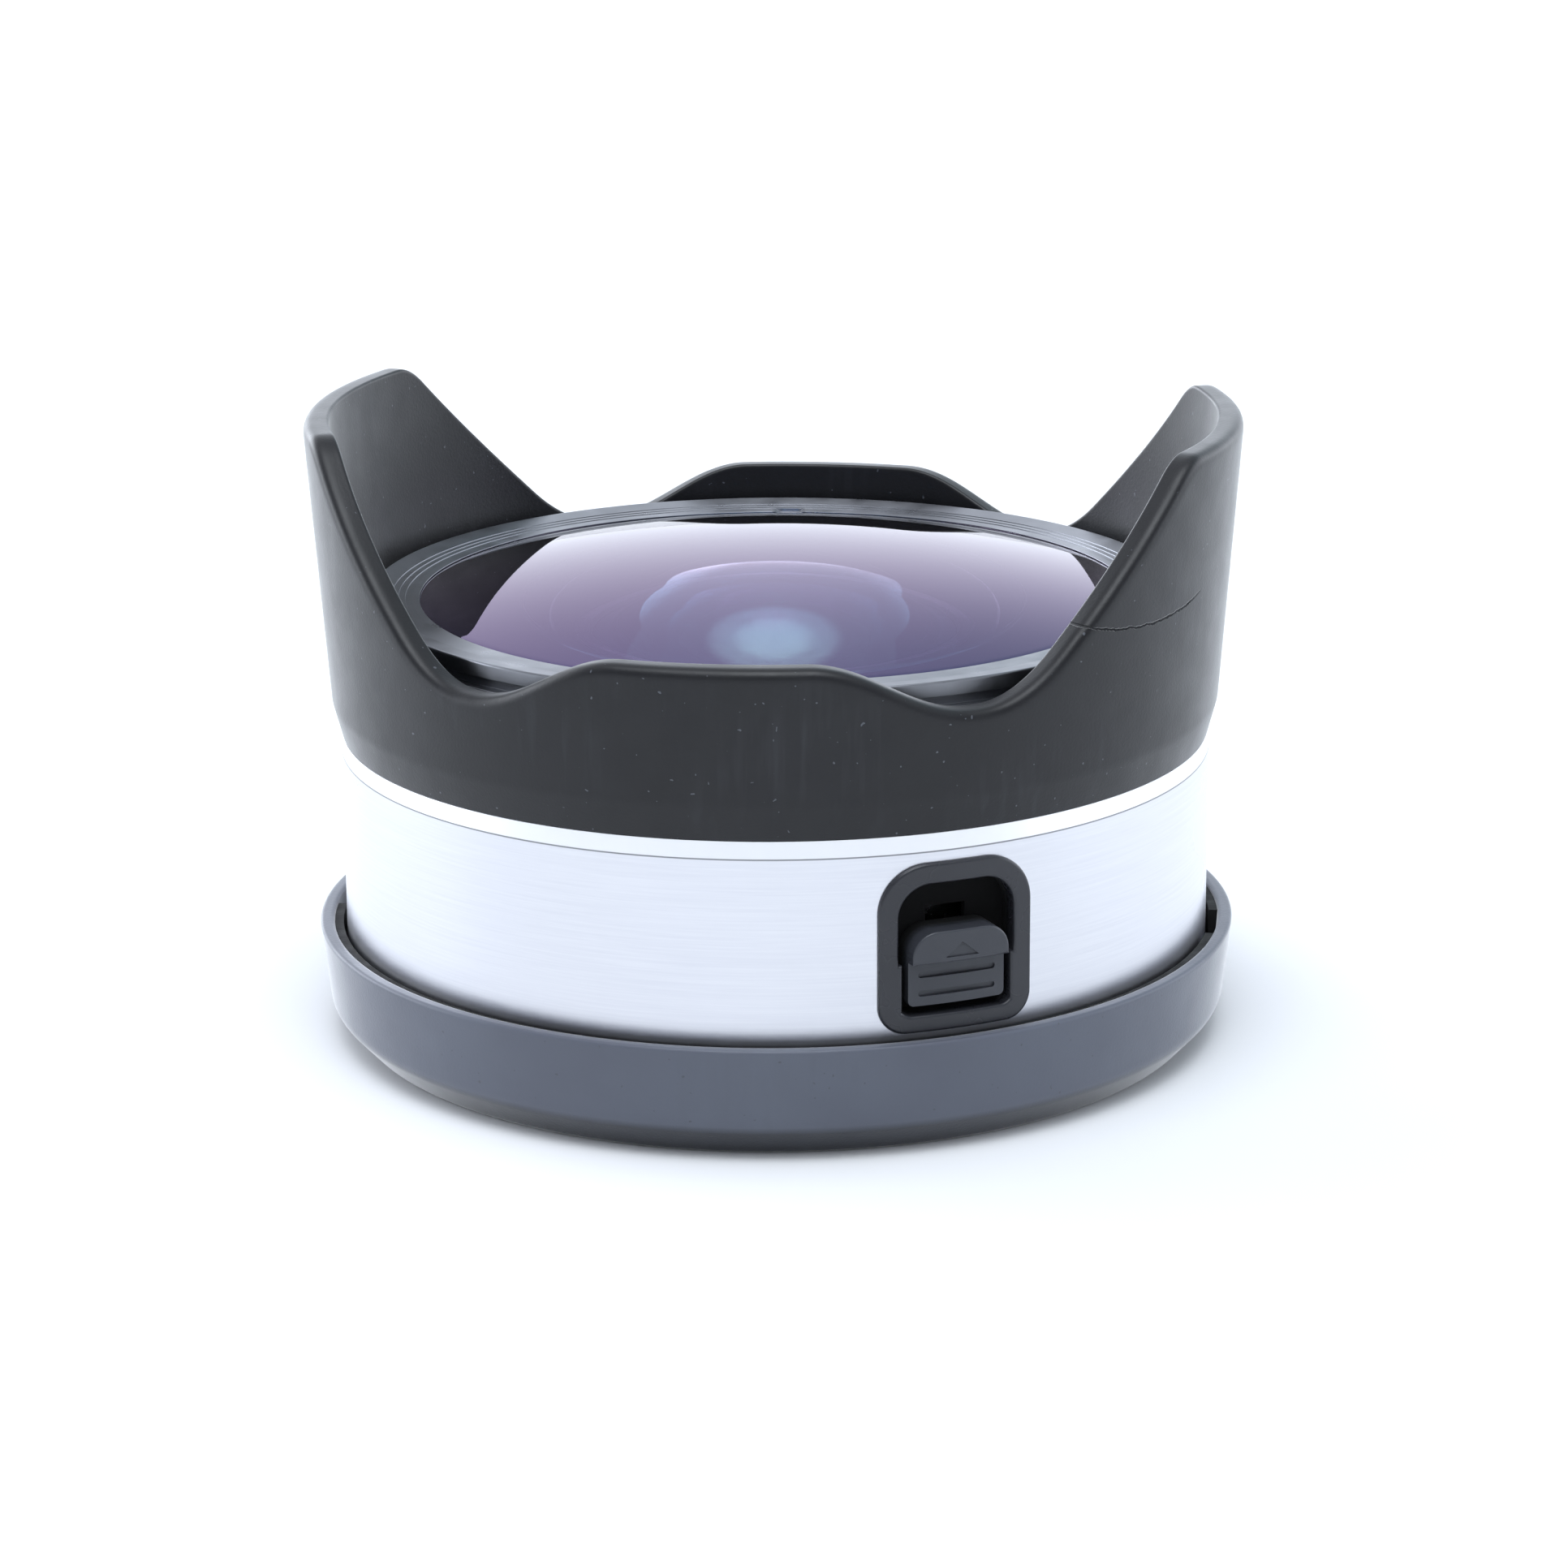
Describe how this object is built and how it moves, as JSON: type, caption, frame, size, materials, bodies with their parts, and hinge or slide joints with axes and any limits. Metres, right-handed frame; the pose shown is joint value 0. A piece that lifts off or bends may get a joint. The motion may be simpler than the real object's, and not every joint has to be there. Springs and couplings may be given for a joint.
{
  "type": "fisheye lens",
  "caption": "Fisheye converter lens with a fixed petal hood, domed front glass, metal barrel, release slide and bayonet rear, standing on its push-on rear cap.",
  "frame": {"origin": "centre of the rear cap's underside, where the lens stands", "axes": "+Z along the optical axis towards the scene, +X through a tall petal of the hood, -Y through a short petal on the release slide's side"},
  "size_m": [0.066, 0.0658, 0.0445],
  "materials": {
    "cap_plastic": "fine satin moulding",
    "pad_rubber": "matt",
    "barrel_aluminium": "finely brushed round the barrel",
    "hood_plastic": "fine satin moulding",
    "ring_aluminium": "satin black",
    "seal_rubber": "matt",
    "front_glass": "coated",
    "cell_aluminium": "matt black",
    "screw_steel": "plain",
    "inner_glass": "coated",
    "frame_plastic": "matt black",
    "bayonet_metal": "satin plated",
    "spring_steel": "plain",
    "bezel_plastic": "semi-gloss",
    "slide_plastic": "satin"
  },
  "bodies": {
    "cap": {"rear_cap": "cap_plastic", "cap_grip_pads": "pad_rubber"},
    "lens": {"barrel_sleeve": "barrel_aluminium", "petal_hood": "hood_plastic", "front_retaining_ring": "ring_aluminium", "front_seal": "seal_rubber", "front_element": "front_glass", "lens_cell": "cell_aluminium", "cell_screws": "screw_steel", "second_retaining_ring": "cell_aluminium", "second_element": "inner_glass", "third_element": "inner_glass", "fourth_element": "inner_glass", "rear_retaining_ring": "cell_aluminium", "rear_baffle": "frame_plastic", "rear_frame": "frame_plastic", "bayonet_ring": "bayonet_metal", "bayonet_screws": "screw_steel", "bayonet_leaf_springs": "spring_steel", "hood_screws": "screw_steel", "release_bezel": "bezel_plastic", "release_spring": "spring_steel"},
    "release": {"release_slide": "slide_plastic", "slide_plate": "spring_steel", "lock_pin": "spring_steel"}
  },
  "joints": [
    {"name": "lens_lift", "type": "slide", "parent": "cap", "child": "lens", "axis": [0, 0, 1], "range_m": [0, 0.025]},
    {"name": "release_slide", "type": "slide", "parent": "lens", "child": "release", "axis": [0, 0, 1], "range_m": [0, 0.0027], "stiffness_N_per_m": 200, "springref_m": -0.003, "deforming": ["release_spring"]}
  ]
}
